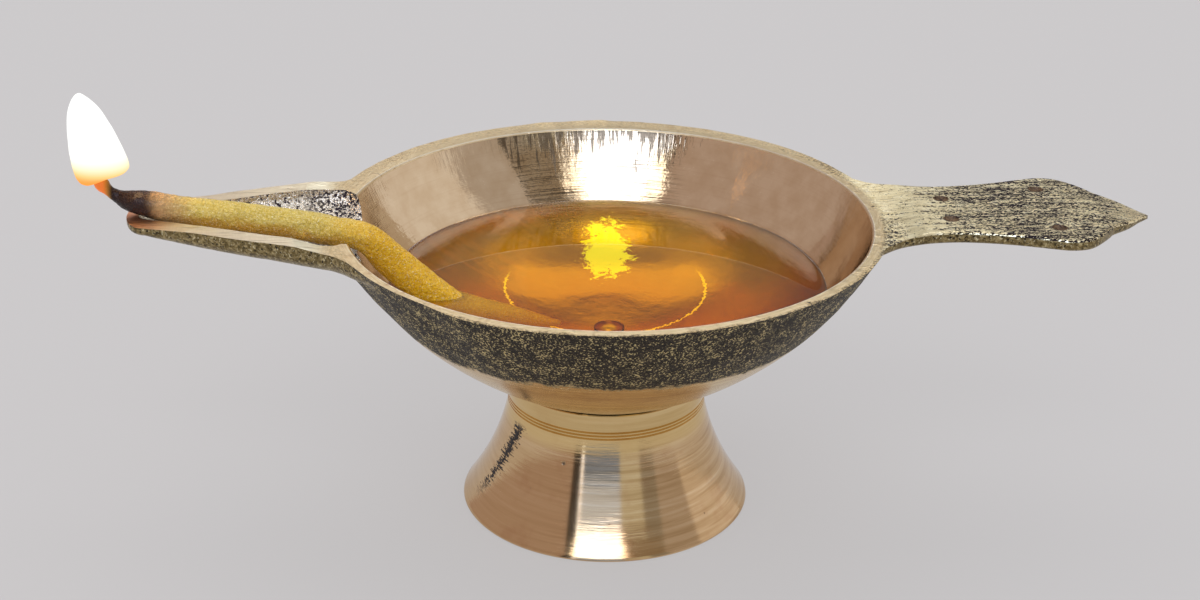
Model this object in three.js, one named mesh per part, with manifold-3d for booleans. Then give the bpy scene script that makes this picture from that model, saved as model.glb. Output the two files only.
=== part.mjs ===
// A brass table oil lamp: a shallow bowl on a flared foot, with a spout that
// carries a cotton wick and a flat handle opposite it.
// Millimetres, +Z up. The origin is on the surface, on the axis that the bowl
// and the foot are turned about. The handle points along +X, the spout along -X.
import * as THREE from 'three';
import { mergeVertices } from 'three/addons/utils/BufferGeometryUtils.js';
import Module from 'manifold-3d';

const wasm = await Module();
wasm.setup();

// Bowl
const rimHeight = 49.5; // surface to the faced land round the rim
const boreRadius = 42; // inside edge of the land
const rimLand = 3; // mean width of the land
const castingShift = 1; // the raw casting lies off the turned axis, towards +Y
const castingBack = 0.3; // and towards -X
const bowlDepth = 24.8; // land to the flat inside bottom
const bottomFlatRadius = 5.2;
const bottomThickness = 2.3;
const bowlOutsideArc = 69; // radius of the outside, in section
const faceCut = 0.65; // the land is faced this far below the tops of spout and handle
const facingMargin = 0.3; // reach of that facing cut past the rim
const faceRunOut = 4; // length over which the cut runs out, on spout and handle
const shiftFade = 14; // height below the rim over which the shift fades out
const rootReach = 6; // spout and handle start this far inside the bore's edge

// Spout, in sections at distances from the axis
const spoutTip = 76.3;
const spoutAside = 1.2; // its middle lies this far towards +Y
const spoutHalfWidths = [
  [36, 24], [38, 21], [40, 18.8], [41.6, 17.1], [43.3, 15.7], [44.8, 15], [47.9, 14], [51, 12.9],
  [54.5, 11.7], [57.3, 10.7], [60.4, 9.6], [63.7, 8.3], [66.9, 7.3], [70.1, 6.6], [73.3, 5.8],
];
const spoutDepths = [
  [36, 6.9], [42, 6.6], [45, 6.4], [51, 5.7], [57, 5.15], [64, 4.3], [70, 3.1], [73.5, 2.2], [76.3, 1.3],
];
const spoutSideShare = 0.25; // share of the depth that stands upright at its edges
const spoutRound = 3.4; // length of the rounding at the tip
const spoutNoseDepth = 0.45; // share of the trough's depth left at the very tip
const channelHalfWidths = [
  [36, 7.5], [39, 8.6], [40.5, 9.4], [41.5, 10.6], [42.5, 11.6], [44, 11.8], [45.1, 11.6],
  [46.8, 11.1], [48.4, 10.5], [50.7, 9.7], [54, 8.7], [59.8, 6.5], [66.2, 4.3], [70, 3], [74.6, 1.9],
];
const channelFloor = 1.4; // metal under the channel
const channelSide = 0.95; // height of the upright edge of the channel
const channelRound = 2; // length of the rounding at its end
const channelEnd = 74.6; // distance from the axis at which the channel stops

// Handle, in sections at distances from the axis
const handleTip = 86.8;
const handleAside = 1.6; // its middle lies this far towards +Y
const handleHalfWidths = [
  [36, 21.5], [41.5, 15.6], [45.5, 12.3], [50, 10.6], [55, 10.1], [60, 10.6], [65, 11.7],
  [69, 12.9], [72, 13.7], [75, 13.2], [77.4, 11.1], [79.4, 8.6], [80.4, 7.2], [83.8, 4.4],
];
const handleThickness = 2;
const handleEdge = 0.5; // rounding of the top edge
const handleUnderBevel = 0.9;
const handleDroop = 1.4; // fall of the top at the very tip
const handleDroopLength = 9.8; // length of the tip over which it falls
const handleTipThickness = 1.2;
const handleTipHalfWidth = 0.35;
const dimpleRadius = 1.3;
const dimpleDepth = 0.7;
const dimplePlaces = [[54.6, 4.35], [71.1, 8.25]]; // distance from the axis, half spacing

// Foot
const seatRadius = 15.75; // flat under the bowl that stands on the foot
const collarRadius = 16.3;
const collarHeight = 2.6;
const grooveCount = 3;
const groovePitch = 0.55;
const grooveDepth = 0.35;
const waistRadius = 16.2;
const baseRadius = 23.8;
const baseBand = 0.4; // upright edge at the base
const flareArc = 46; // radius of the hollow curve of the flare
const footWall = 2.1;
const webThickness = 2.5; // top of the foot, which the rivet goes through

// Rivet through bowl and foot
const rivetAside = -6.7; // the rivet stands this far from the axis along Y
const rivetShank = 1.3;
const rivetHead = 2.4;
const rivetHeadHeight = 1.1;
const rivetTail = 2.2;
const rivetTailHeight = 0.9;
const washerRadius = 4.2;
const washerThickness = 0.8;

// Oil, wick and flame
const oilDepth = 11.2; // land down to the oil
const wickRadius = 2.35; // in the spout
const wickSoaked = 2.75; // swollen with oil, in the bowl
const charRadius = 0.9; // thinnest part of the burnt neck
const emberRadius = 1.15;
const emberRise = 6.6; // tip of the ember above the land
const emberReach = 4.3; // tip of the ember past the spout's tip
const wickAside = 1.6; // the wick lies this far towards +Y in the spout
const flameHeight = 15.4;
const flameHalfWidth = 4.25;
const flameWaist = 0.24; // share of the height at which the flame is widest
const flameDepthShare = 0.8; // depth of the flame for its width
const flameLean = 2.3; // the top leans this far towards -X
const flameFootLean = 1.8;
const flameReach = 3.75; // its widest part past the spout's tip
const flameOverlap = 1.5; // how far the flame reaches down from the ember's tip

// Gap between pieces that touch
const gap = 0.3;

// How far a cut runs past what it cuts
const clear = 1;

// Fineness of the round surfaces
const bowlSegments = 72;
const footSegments = 56;
const smallSegments = 24;

// Heights and radii that follow
const castTop = rimHeight + faceCut;
const insideBottom = rimHeight - bowlDepth;
const seatHeight = insideBottom - bottomThickness;
const footTop = seatHeight - gap;
const webBottom = footTop - webThickness;
const rimOuter = boreRadius + rimLand;
const facedRadius = rimOuter + castingShift + facingMargin;
const boltHole = rivetShank + gap;

// Centre height of the inside arc, which runs level at the flat bottom
const insideSpan = boreRadius - bottomFlatRadius;
const insideArc = (insideSpan ** 2 + bowlDepth ** 2) / (2 * bowlDepth);
const insideArcHeight = insideBottom + insideArc;

// The rivet's head clears the bottom where the bottom starts to curve up
const headReach = Math.max(0, Math.abs(rivetAside) + rivetHead - bottomFlatRadius);
const rivetHeadLow = insideArcHeight - Math.sqrt(insideArc ** 2 - headReach ** 2) + gap;

// A list of numbers from a to b
function steps(a, b, count) {
  return Array.from({ length: count + 1 }, (_, i) => a + ((b - a) * i) / count);
}

// Points of an arc of the given radius between two points, bulging to the
// right of the way from a to b, or to the left with a negative radius
function arcBetween(a, b, radius, count) {
  const dx = b[0] - a[0];
  const dy = b[1] - a[1];
  const half = Math.hypot(dx, dy) / 2;
  const size = Math.max(Math.abs(radius), half * 1.001);
  const rise = Math.sqrt(size ** 2 - half ** 2) * Math.sign(radius);
  const cx = (a[0] + b[0]) / 2 - (dy / (2 * half)) * rise;
  const cy = (a[1] + b[1]) / 2 + (dx / (2 * half)) * rise;
  const start = Math.atan2(a[1] - cy, a[0] - cx);
  let turn = Math.atan2(b[1] - cy, b[0] - cx) - start;
  turn -= 2 * Math.PI * Math.round(turn / (2 * Math.PI));
  return steps(start, start + turn, count).map((t) => [cx + size * Math.cos(t), cy + size * Math.sin(t)]);
}

// A solid from a closed geometry, its seams merged, empty faces dropped and
// its faces turned outwards
function solidOf(geometry) {
  const bare = geometry.clone();
  bare.deleteAttribute('normal');
  bare.deleteAttribute('uv');
  const merged = mergeVertices(bare, 1e-5);
  const index = merged.index.array;
  const kept = [];
  for (let i = 0; i < index.length; i += 3) {
    const [a, b, c] = [index[i], index[i + 1], index[i + 2]];
    if (a !== b && b !== c && a !== c) kept.push(a, b, c);
  }
  const faced = (corners) => new wasm.Manifold(new wasm.Mesh({
    numProp: 3,
    vertProperties: new Float32Array(merged.attributes.position.array),
    triVerts: new Uint32Array(corners),
  }));
  const solid = faced(kept);
  return solid.volume() < 0 ? faced(kept.reverse()) : solid;
}

function geometryOf(solid) {
  const mesh = solid.getMesh();
  const geometry = new THREE.BufferGeometry();
  geometry.setAttribute('position', new THREE.BufferAttribute(mesh.vertProperties, 3));
  geometry.setIndex(new THREE.BufferAttribute(mesh.triVerts, 1));
  geometry.computeVertexNormals();
  return geometry;
}

// Turns a profile of [radius, height] pairs, given upwards on the outside,
// about Z. offAxis, if given, is the share of the casting's shift that the ring
// at each height takes.
function turned(profile, segments, offAxis) {
  const points = profile.map(([r, z]) => new THREE.Vector2(r, z));
  const geometry = new THREE.LatheGeometry(points, segments);
  geometry.rotateX(Math.PI / 2);
  if (offAxis) {
    const position = geometry.attributes.position;
    for (let i = 0; i < position.count; i++) {
      const share = offAxis(position.getZ(i));
      position.setX(i, position.getX(i) - share * castingBack);
      position.setY(i, position.getY(i) + share * castingShift);
    }
  }
  return solidOf(geometry);
}

// Skins a row of rings, each a closed loop of the same count of [x, y, z]
function skinned(rings) {
  const count = rings[0].length;
  const positions = rings.flat(2);
  const faces = [];
  const middle = (ring) => [0, 1, 2].map((k) => ring.reduce((sum, p) => sum + p[k], 0) / count);
  positions.push(...middle(rings[0]), ...middle(rings[rings.length - 1]));
  const first = rings.length * count;
  for (let i = 0; i + 1 < rings.length; i++) {
    for (let j = 0; j < count; j++) {
      const a = i * count + j;
      const b = i * count + ((j + 1) % count);
      faces.push(a, b, b + count, a, b + count, a + count);
    }
  }
  for (let j = 0; j < count; j++) {
    const next = (j + 1) % count;
    const last = (rings.length - 1) * count;
    faces.push(next, j, first, last + j, last + next, first + 1);
  }
  const geometry = new THREE.BufferGeometry();
  geometry.setAttribute('position', new THREE.Float32BufferAttribute(positions, 3));
  geometry.setIndex(faces);
  return solidOf(geometry);
}

// A smooth value through [distance, value] pairs
function smoothValue(pairs, at) {
  const curve = new THREE.SplineCurve(pairs.map(([s, v]) => new THREE.Vector2(s, v)));
  let low = 0;
  let high = 1;
  for (let i = 0; i < 30; i++) {
    const mid = (low + high) / 2;
    if (curve.getPoint(mid).x < at) low = mid;
    else high = mid;
  }
  return curve.getPoint(low).y;
}

// The inside of the bowl, brought in by a margin and filled to a height
function bowlInside(margin, top) {
  const size = insideArc - margin;
  const angleAt = (z) => Math.asin((z - insideArcHeight) / size);
  const wall = steps(-Math.PI / 2, angleAt(Math.min(top, rimHeight)), 11)
    .map((t) => [bottomFlatRadius + size * Math.cos(t), insideArcHeight + size * Math.sin(t)]);
  return [[0, insideBottom + margin], ...wall, [wall[wall.length - 1][0], top], [0, top]];
}

// Depth of the channel below the top of the spout
function channelDepth(at) {
  return smoothValue(spoutDepths, at) - channelFloor;
}

// A trough or channel in section, from the top down round to the top again
function troughSection(at, halfWidth, side, depth, top) {
  const half = steps(0, 1, 6).map((t) => {
    const y = halfWidth * Math.cos((t * Math.PI) / 2);
    const z = -side - (depth - side) * Math.sin((t * Math.PI) / 2);
    return [y, z];
  });
  const down = half.map(([y, z]) => [-at, spoutAside - y, castTop + z]);
  const up = half.slice(0, -1).reverse().map(([y, z]) => [-at, spoutAside + y, castTop + z]);
  return [
    [-at, spoutAside - halfWidth, top],
    ...down,
    ...up,
    [-at, spoutAside + halfWidth, top],
  ];
}

// The outside of the spout, rounded off at its tip
function spoutBody() {
  const last = spoutTip - spoutRound;
  const ringAt = (at, ending) => {
    const from = Math.min(at, last);
    const halfWidth = smoothValue(spoutHalfWidths, from) * ending;
    const depth = smoothValue(spoutDepths, from) * (spoutNoseDepth + (1 - spoutNoseDepth) * ending);
    return troughSection(at, halfWidth, depth * spoutSideShare, depth, castTop);
  };
  const rings = steps(boreRadius - rootReach, last, 12).map((at) => ringAt(at, 1));
  for (const t of [0.35, 0.65, 0.85, 0.96, 0.995]) {
    rings.push(ringAt(last + spoutRound * t, Math.sqrt(1 - t ** 2)));
  }
  return skinned(rings);
}

// The channel, which starts inside the bowl and stops short of the tip
function spoutChannel() {
  const last = channelEnd - channelRound;
  const ringAt = (at, ending) => {
    const halfWidth = smoothValue(channelHalfWidths, at) * ending;
    const depth = channelDepth(at);
    return troughSection(at, halfWidth, Math.min(channelSide, depth / 2), depth, castTop + clear);
  };
  const rings = steps(boreRadius - rootReach, last, 16).map((at) => ringAt(at, 1));
  for (const t of [0.5, 0.8, 0.95]) rings.push(ringAt(last + channelRound * t, Math.sqrt(1 - t ** 2)));
  return skinned(rings);
}

// The handle: flat on top, its edge rounded above and bevelled below
function handleBody() {
  const widths = [...handleHalfWidths, [handleTip, handleTipHalfWidth]];
  const droopStart = handleTip - handleDroopLength;
  const places = [
    ...steps(boreRadius - rootReach, droopStart, 14),
    ...steps(droopStart, handleTip, 9).slice(1),
  ];
  const rings = places.map((at) => {
    const halfWidth = smoothValue(widths, at);
    const fall = Math.max(0, (at - droopStart) / handleDroopLength);
    const top = castTop - handleDroop * fall ** 1.5;
    const thick = handleThickness + (handleTipThickness - handleThickness) * fall ** 2;
    const edge = Math.min(handleEdge, halfWidth * 0.4);
    const bevel = Math.min(handleUnderBevel, halfWidth * 0.4);
    const section = [
      [halfWidth - edge, 0], [halfWidth, -edge], [halfWidth, bevel - thick], [halfWidth - bevel, -thick],
    ];
    const mirrored = section.map(([y, z]) => [-y, z]).reverse();
    return [...section, ...mirrored].map(([y, z]) => [at, handleAside + y, top + z]);
  });
  return skinned(rings);
}

// A shallow round-bottomed cutter, standing over a point of the handle
function dimple(x, y) {
  const ball = (dimpleRadius ** 2 + dimpleDepth ** 2) / (2 * dimpleDepth);
  const rim = Math.asin((dimpleDepth - ball) / ball);
  const arc = steps(-Math.PI / 2, rim, 4).map((t) => [ball * Math.cos(t), ball + ball * Math.sin(t)]);
  const profile = [...arc, [dimpleRadius, dimpleDepth + clear], [0, dimpleDepth + clear]];
  return turned(profile, 16).translate(x, handleAside + y, castTop - dimpleDepth);
}

function cylinder(radius, low, high, segments = smallSegments) {
  return turned([[0, low], [radius, low], [radius, high], [0, high]], segments);
}

function rivetHole(low, high) {
  return cylinder(boltHole, low, high).translate(0, rivetAside, 0);
}

// The bowl, its spout and its handle are one casting
function bowl() {
  const outside = arcBetween([seatRadius, seatHeight], [rimOuter, rimHeight], bowlOutsideArc, 9);
  const offAxis = (z) => THREE.MathUtils.smoothstep(z, rimHeight - shiftFade, rimHeight);
  const profile = [[0, seatHeight], ...outside, [rimOuter, castTop], [0, castTop]];
  let body = turned(profile, bowlSegments, offAxis);
  body = body.add(spoutBody()).add(handleBody());
  const facing = turned([
    [0, rimHeight], [facedRadius, rimHeight], [facedRadius + faceRunOut, castTop],
    [facedRadius + faceRunOut, castTop + clear], [0, castTop + clear],
  ], bowlSegments);
  const inside = turned(bowlInside(0, castTop + clear), bowlSegments);
  body = body.subtract(inside.add(spoutChannel()).add(facing));
  for (const [x, y] of dimplePlaces) {
    body = body.subtract(dimple(x, y)).subtract(dimple(x, -y));
  }
  return body.subtract(rivetHole(seatHeight - clear, insideBottom + clear));
}

// The foot is hollow, open below, and closed on top by the web
function pedestalFoot() {
  const grooveTop = footTop - collarHeight;
  const waistHeight = grooveTop - grooveCount * groovePitch;
  const grooves = [];
  for (let i = 0; i < grooveCount; i++) {
    const top = grooveTop - i * groovePitch;
    const bottom = [collarRadius - grooveDepth, top - groovePitch * 0.5];
    grooves.unshift(bottom, [collarRadius, top - groovePitch * 0.15]);
  }
  const flare = arcBetween([baseRadius, baseBand], [waistRadius, waistHeight], -flareArc, 8);
  const outside = [[baseRadius, 0], ...flare, ...grooves, [collarRadius, grooveTop], [seatRadius, footTop]];
  const inside = arcBetween(
    [waistRadius - footWall, webBottom],
    [baseRadius - footWall, 0],
    flareArc,
    8,
  );
  const profile = [[0, webBottom], ...inside, ...outside, [0, footTop]];
  return turned(profile, footSegments).subtract(rivetHole(webBottom - clear, footTop + clear));
}

// Its domed head lies in the bowl, its tail is spread under the washer
function footRivet() {
  const washerLow = webBottom - gap - washerThickness;
  const tailTop = washerLow - gap;
  const ball = (rivetHead ** 2 + rivetHeadHeight ** 2) / (2 * rivetHeadHeight);
  const dome = steps(Math.asin((ball - rivetHeadHeight) / ball), Math.PI / 2, 5)
    .map((t) => [ball * Math.cos(t), rivetHeadLow + rivetHeadHeight - ball + ball * Math.sin(t)]);
  dome[dome.length - 1][0] = 0;
  const tailLow = tailTop - rivetTailHeight;
  return turned([
    [0, tailLow], [rivetTail * 0.6, tailLow], [rivetTail, tailLow + rivetTailHeight * 0.6],
    [rivetTail, tailTop], [rivetShank, tailTop], [rivetShank, rivetHeadLow], ...dome,
  ], smallSegments).translate(0, rivetAside, 0);
}

function rivetWasher() {
  const high = webBottom - gap;
  const low = high - washerThickness;
  return turned([
    [boltHole, low], [washerRadius, low], [washerRadius, high], [boltHole, high], [boltHole, low],
  ], smallSegments).translate(0, rivetAside, 0);
}

// Middle height of a strand of some radius that lies a lift above the metal
function restingHeight(x, y, radius, lift) {
  const past = -x - boreRadius;
  if (past > -rootReach) return castTop - channelDepth(-x) + radius + lift;
  const across = Math.hypot(x, y) - bottomFlatRadius;
  return insideArcHeight - Math.sqrt((insideArc - radius - lift) ** 2 - across ** 2);
}

// The wick's middle line. It stands free from its burnt tip to the spout's tip,
// as [past the tip, height over the land, radius].
const wickFree = [
  [emberReach, emberRise, emberRadius * 0.7],
  [3.6, 5.6, emberRadius],
  [2.7, 4.6, charRadius],
  [1.5, 3.7, charRadius * 1.15],
  [-0.1, 2.9, wickRadius * 0.66],
].map(([past, height, radius]) => [-spoutTip - past, wickAside, rimHeight + height, radius]);

// In the channel, as [share of the way from the rim to the tip, aside, lift, radius]
const wickInSpout = [
  [0.924, 1, 0.9, wickRadius * 0.82],
  [0.851, 1, 0.5, wickRadius * 0.93],
  [0.673, wickAside, 0.4, wickRadius],
  [0.457, wickAside, 0.42, wickRadius],
  [0.23, 0.65, 0.42, wickRadius],
  [0.044, -1.55, 0.85, wickRadius],
  [-0.099, -4.1, 0.95, wickRadius],
].map(([share, aside, lift, radius]) => {
  const x = -boreRadius - share * (spoutTip - boreRadius);
  return [x, aside, restingHeight(x, aside, radius, lift), radius];
});

// In the bowl, as [share of the bore's radius, aside, lift, radius]
const wickInBowl = [
  [0.819, -3.4, 1.1, wickSoaked],
  [0.698, -3.9, 1.95, wickSoaked],
  [0.557, -4.7, 1.97, wickSoaked],
  [0.393, -6, 1.62, wickSoaked * 0.98],
  [0.255, -7.1, 1.21, wickSoaked * 0.88],
  [0.131, -8, 1.1, wickSoaked * 0.6],
].map(([share, aside, lift, radius]) => {
  const x = -boreRadius * share;
  return [x, aside, restingHeight(x, aside, radius, lift), radius];
});

const wickRoute = [...wickFree, ...wickInSpout, ...wickInBowl];

// A round tube through points of [x, y, z, radius]
function tube(route, around, along, extra) {
  const line = new THREE.CatmullRomCurve3(route.map(([x, y, z]) => new THREE.Vector3(x, y, z)));
  const radii = new THREE.SplineCurve(route.map((p, i) => new THREE.Vector2(i, p[3])));
  const frames = line.computeFrenetFrames(along, false);
  const rings = steps(0, 1, along).map((t, i) => {
    const middle = line.getPointAt(t);
    const radius = radii.getPoint(line.getUtoTmapping(t)).y + extra;
    return steps(0, 2 * Math.PI, around).slice(0, -1).map((angle) => {
      const p = middle.clone();
      p.addScaledVector(frames.normals[i], radius * Math.cos(angle));
      p.addScaledVector(frames.binormals[i], radius * Math.sin(angle));
      return p.toArray();
    });
  });
  return skinned(rings);
}

function wick(extra = 0) {
  return tube(wickRoute, 10, 38, extra);
}

// The oil fills the bowl to its level, round the wick and the rivet's head
function oil() {
  const level = rimHeight - oilDepth;
  const body = turned(bowlInside(gap, level), bowlSegments);
  const overHead = rivetHeadLow + rivetHeadHeight + gap;
  const headSpace = cylinder(rivetHead + gap, insideBottom - clear, overHead);
  return body.subtract(wick(gap)).subtract(headSpace.translate(0, rivetAside, 0));
}

// The flame leans back over the burnt tip of the wick, which stands in it. It
// swells quickly from its foot and draws in slowly to its blunt top.
function flame() {
  const low = rimHeight + emberRise - flameOverlap;
  const rings = steps(0.01, 0.995, 13).map((t) => {
    const away = t < flameWaist ? (flameWaist - t) / flameWaist : (t - flameWaist) / (1 - flameWaist);
    const halfWidth = flameHalfWidth * (1 - away ** 2) ** (t < flameWaist ? 0.5 : 0.62);
    const x = -spoutTip - flameReach - away * (t < flameWaist ? flameFootLean : flameLean);
    return steps(0, 2 * Math.PI, 16).slice(0, -1).map((a) => [
      x + halfWidth * Math.cos(a),
      wickAside + halfWidth * flameDepthShare * Math.sin(a),
      low + flameHeight * t,
    ]);
  });
  return skinned(rings).subtract(wick(gap));
}

function material(color, roughness, metalness, opacity = 1) {
  return new THREE.MeshStandardMaterial({ color, roughness, metalness, opacity, transparent: opacity < 1 });
}

const castBrass = material(0xb9a673, 0.3, 1);
const turnedBrass = material(0xc2a869, 0.16, 1);
const rivetBrass = material(0xa98a52, 0.3, 1);
const oilAmber = material(0xc9680c, 0.06, 0, 0.8);
const wickCotton = material(0xb9a03f, 0.75, 0);
const flameGlow = material(0xfff3d0, 1, 0, 0.9);
flameGlow.emissive = new THREE.Color(0xffe9b0);

const group = new THREE.Group();
for (const [name, solid, look] of [
  ['bowl', bowl(), castBrass],
  ['pedestal_foot', pedestalFoot(), turnedBrass],
  ['foot_rivet', footRivet(), rivetBrass],
  ['rivet_washer', rivetWasher(), rivetBrass],
  ['oil', oil(), oilAmber],
  ['wick', wick(), wickCotton],
  ['flame', flame(), flameGlow],
]) {
  const mesh = new THREE.Mesh(geometryOf(solid), look);
  mesh.name = name;
  group.add(mesh);
}

export default group;
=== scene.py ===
from math import asin, atan2, copysign, cos, exp, hypot, pi, radians, sin, sqrt, tan

import bpy
import numpy as np
from mathutils import Matrix, Vector


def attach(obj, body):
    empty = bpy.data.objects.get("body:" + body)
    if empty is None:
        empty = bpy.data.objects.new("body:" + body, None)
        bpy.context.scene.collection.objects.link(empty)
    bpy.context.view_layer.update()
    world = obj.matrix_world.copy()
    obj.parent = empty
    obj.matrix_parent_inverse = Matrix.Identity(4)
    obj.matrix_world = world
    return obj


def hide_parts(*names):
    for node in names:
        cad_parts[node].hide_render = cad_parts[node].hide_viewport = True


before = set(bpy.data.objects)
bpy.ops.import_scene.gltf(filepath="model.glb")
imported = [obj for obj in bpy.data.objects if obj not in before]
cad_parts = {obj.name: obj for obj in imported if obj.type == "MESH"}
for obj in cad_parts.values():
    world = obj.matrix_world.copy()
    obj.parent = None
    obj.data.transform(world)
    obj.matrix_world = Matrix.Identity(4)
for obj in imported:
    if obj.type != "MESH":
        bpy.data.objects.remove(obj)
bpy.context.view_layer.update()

# Sizes in millimetres, as in the solids. The casting lies a little off the
# turned axis: SHIFT towards +Y and BACK towards -X at the rim.
RIM = 49.5
CAST_TOP = 50.15
BORE = 42.0
RIM_OUTER = 45.0
SHIFT = 1.0
BACK = 0.3
INSIDE_BOTTOM = 24.7
BOTTOM_FLAT = 5.2
SEAT = 22.4
OIL_LEVEL = 38.3
RIVET_Y = -6.7
RIVET_HOLE = 1.6  # radius
GAP = 0.3  # between parts
TURNED = 420  # segments of a turned form
INSIDE_ARC = ((BORE - BOTTOM_FLAT) ** 2 + (RIM - INSIDE_BOTTOM) ** 2) / (2 * (RIM - INSIDE_BOTTOM))
INSIDE_CENTRE = INSIDE_BOTTOM + INSIDE_ARC


# ---- shapes
def steps(a, b, count):
    return [a + (b - a) * i / count for i in range(count + 1)]


def full_turn(count):
    return np.linspace(0, 2 * pi, count, endpoint=False)


def value_noise(points, size, seed):
    """Smooth noise from -1 to 1 with features of the given size."""
    q = np.asarray(points, float) / size + 1000.5
    i = np.floor(q).astype(np.int64)
    f = q - i
    f = f * f * (3 - 2 * f)
    total = np.zeros(len(q))
    for near in np.ndindex(2, 2, 2):
        a, b, c = (i + near).T
        h = a * 73856093 ^ b * 19349663 ^ c * 83492791
        h = (h ^ (seed * 40503)) & 0xFFFFFFFF
        h = ((h ^ (h >> 15)) * 0x2C1B3C6D) & 0xFFFFFFFF
        h = ((h ^ (h >> 12)) * 0x297A2D39) & 0xFFFFFFFF
        h ^= h >> 15
        total += np.where(near, f, 1 - f).prod(axis=1) * ((h & 0xFFFF) / 32767.5 - 1)
    return total


def smoothstep(x, low, high):
    t = np.clip((np.asarray(x, float) - low) / (high - low), 0, 1)
    return t * t * (3 - 2 * t)


def spline(pairs):
    """A smooth curve through [distance, value] pairs, as a function."""
    p = np.array(pairs, float)
    n = len(p)
    out = []
    for t in np.linspace(0, n - 1, 60 * (n - 1) + 1):
        i = min(int(t), n - 2)
        w = t - i
        p0, p1, p2, p3 = p[max(i - 1, 0)], p[i], p[i + 1], p[min(i + 2, n - 1)]
        v0, v1 = (p2 - p0) / 2, (p3 - p1) / 2
        out.append((2 * p1 - 2 * p2 + v0 + v1) * w**3 + (-3 * p1 + 3 * p2 - 2 * v0 - v1) * w**2 + v0 * w + p1)
    out = np.array(out)
    return lambda at: float(np.interp(at, out[:, 0], out[:, 1]))


def arc(a, b, radius, count):
    """Points of an arc from a to b, bulging to the right, or left if negative."""
    dx, dy = b[0] - a[0], b[1] - a[1]
    half = hypot(dx, dy) / 2
    size = max(abs(radius), half * 1.001)
    rise = copysign(sqrt(size**2 - half**2), radius)
    cx = (a[0] + b[0]) / 2 - dy / (2 * half) * rise
    cy = (a[1] + b[1]) / 2 + dx / (2 * half) * rise
    start = atan2(a[1] - cy, a[0] - cx)
    turn = atan2(b[1] - cy, b[0] - cx) - start
    turn -= 2 * pi * round(turn / (2 * pi))
    return [(cx + size * cos(t), cy + size * sin(t)) for t in steps(start, start + turn, count)]


def revolve(profile, segments, closed=False):
    """A closed body turned about Z from (radius, height) pairs, upwards outside."""
    angles = full_turn(segments)
    verts, rows, faces = [], [], []
    for r, z in profile:
        start = len(verts)
        if r < 1e-9:
            verts.append((0.0, 0.0, z))
            rows.append([start])
        else:
            verts.extend((r * cos(a), r * sin(a), z) for a in angles)
            rows.append(list(range(start, start + segments)))
    pairs = list(zip(rows, rows[1:]))
    if closed:
        pairs.append((rows[-1], rows[0]))
    for low, high in pairs:
        for j in range(segments):
            k = (j + 1) % segments
            if len(low) == 1 and len(high) == 1:
                break
            if len(low) == 1:
                faces.append((low[0], high[k], high[j]))
            elif len(high) == 1:
                faces.append((low[j], low[k], high[0]))
            else:
                faces.append((low[j], low[k], high[k], high[j]))
    return np.array(verts), faces


def skin(rings):
    """A closed body through a row of closed rings of the same count."""
    rings = np.asarray(rings, float)
    rows, count = rings.shape[:2]
    verts = np.concatenate([rings.reshape(-1, 3), rings[:1].mean(1), rings[-1:].mean(1)])
    first, last = rows * count, rows * count + 1
    faces = []
    for i in range(rows - 1):
        for j in range(count):
            k = (j + 1) % count
            faces.append((i * count + j, i * count + k, (i + 1) * count + k, (i + 1) * count + j))
    for j in range(count):
        k = (j + 1) % count
        faces.append((k, j, first))
        faces.append(((rows - 1) * count + j, (rows - 1) * count + k, last))
    return verts, faces


def volume(verts, faces):
    total = 0.0
    for f in faces:
        a = verts[f[0]]
        for m in range(1, len(f) - 1):
            total += np.dot(a, np.cross(verts[f[m]], verts[f[m + 1]]))
    return total / 6


def place(name, data):
    obj = bpy.data.objects.new(name, data)
    bpy.context.scene.collection.objects.link(obj)
    return obj


def make(name, verts, faces, materials, zone=0, sharp=None):
    """An object from points in millimetres. zone is one number or one a face."""
    if volume(verts, faces) < 0:
        faces = [tuple(reversed(f)) for f in faces]
    mesh = bpy.data.meshes.new(name)
    mesh.from_pydata([tuple(v) for v in np.asarray(verts) * 0.001], [], faces)
    for m in materials:
        mesh.materials.append(m)
    zones = np.full(len(faces), zone, np.int32) if np.isscalar(zone) else np.asarray(zone, np.int32)
    mesh.polygons.foreach_set("material_index", zones)
    mesh.polygons.foreach_set("use_smooth", np.ones(len(faces), bool))
    if sharp is not None:
        mesh.set_sharp_from_angle(angle=radians(sharp))
    mesh.update()
    return place(name, mesh)


def read(items, name, kind=float, width=1):
    values = np.zeros(len(items) * width, kind)
    items.foreach_get(name, values)
    return values.reshape(-1, width).squeeze()


def boolean(target, other, operation):
    cut = target.modifiers.new("cut", "BOOLEAN")
    cut.object = other
    cut.operation = operation
    cut.solver = "MANIFOLD"
    graph = bpy.context.evaluated_depsgraph_get()
    mesh = bpy.data.meshes.new_from_object(target.evaluated_get(graph))
    target.modifiers.clear()
    old = target.data
    target.data = mesh
    bpy.data.meshes.remove(old)
    bpy.data.objects.remove(other)


# ---- materials
RAW_SPECULAR = 0.15  # raw and filed skin


def colour(r, g, b):
    """A display colour from 0 to 255 as linear light."""
    def one(c):
        c /= 255
        return c / 12.92 if c <= 0.04045 else ((c + 0.055) / 1.055) ** 2.4
    return (one(r), one(g), one(b), 1.0)


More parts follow.
